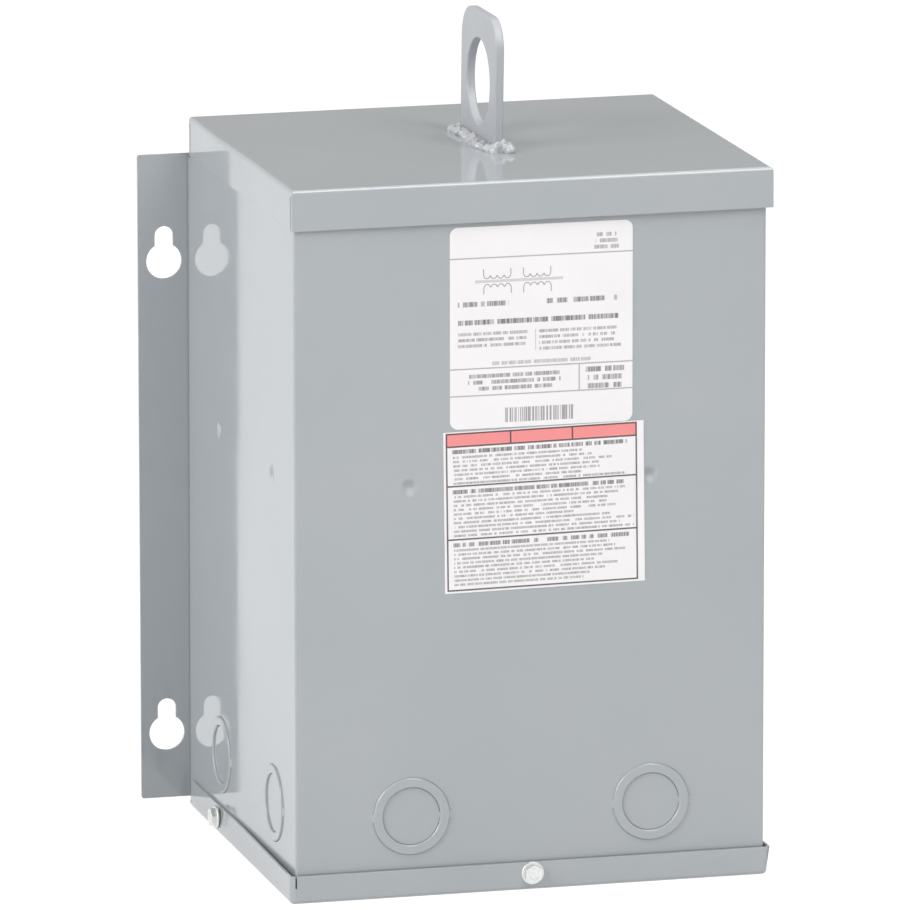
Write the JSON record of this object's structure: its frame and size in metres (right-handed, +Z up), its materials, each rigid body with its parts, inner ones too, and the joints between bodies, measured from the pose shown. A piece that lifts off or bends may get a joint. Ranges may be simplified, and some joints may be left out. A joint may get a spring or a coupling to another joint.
{
  "type": "dry-type transformer",
  "caption": "Wall-mounting encapsulated dry-type transformer: a grey sheet-steel box with keyhole ears, overlapping lid, lifting eye, bottom pan and knockouts.",
  "frame": {"origin": "under the middle of the whole object, on the plane the bottom pan stands on", "axes": "+X to the right along the front, -Y out of the front face with the labels, +Z up"},
  "size_m": [0.2878, 0.2226, 0.4142],
  "materials": {
    "grey_enamel": "gloss",
    "zinc": "satin",
    "white_paper": "satin",
    "potting": "matte"
  },
  "bodies": {
    "root": {"body_shell": "grey_enamel", "back_plate": "grey_enamel", "lid": "grey_enamel", "bottom_pan": "grey_enamel", "lifting_eye": "grey_enamel", "eye_weld_left": "grey_enamel", "eye_weld_right": "grey_enamel", "eye_weld_front": "grey_enamel", "eye_weld_rear": "grey_enamel", "knockout_front_left_ring": "grey_enamel", "knockout_front_left_disc": "grey_enamel", "knockout_front_right_ring": "grey_enamel", "knockout_front_right_disc": "grey_enamel", "knockout_left_front_ring": "grey_enamel", "knockout_left_front_disc": "grey_enamel", "knockout_left_rear_ring": "grey_enamel", "knockout_left_rear_disc": "grey_enamel", "knockout_right_front_ring": "grey_enamel", "knockout_right_front_disc": "grey_enamel", "knockout_right_rear_ring": "grey_enamel", "knockout_right_rear_disc": "grey_enamel", "front_screw": "zinc", "left_screw": "zinc", "right_screw": "zinc", "upper_label": "white_paper", "lower_label": "white_paper", "core_block": "potting"}
  },
  "joints": []
}
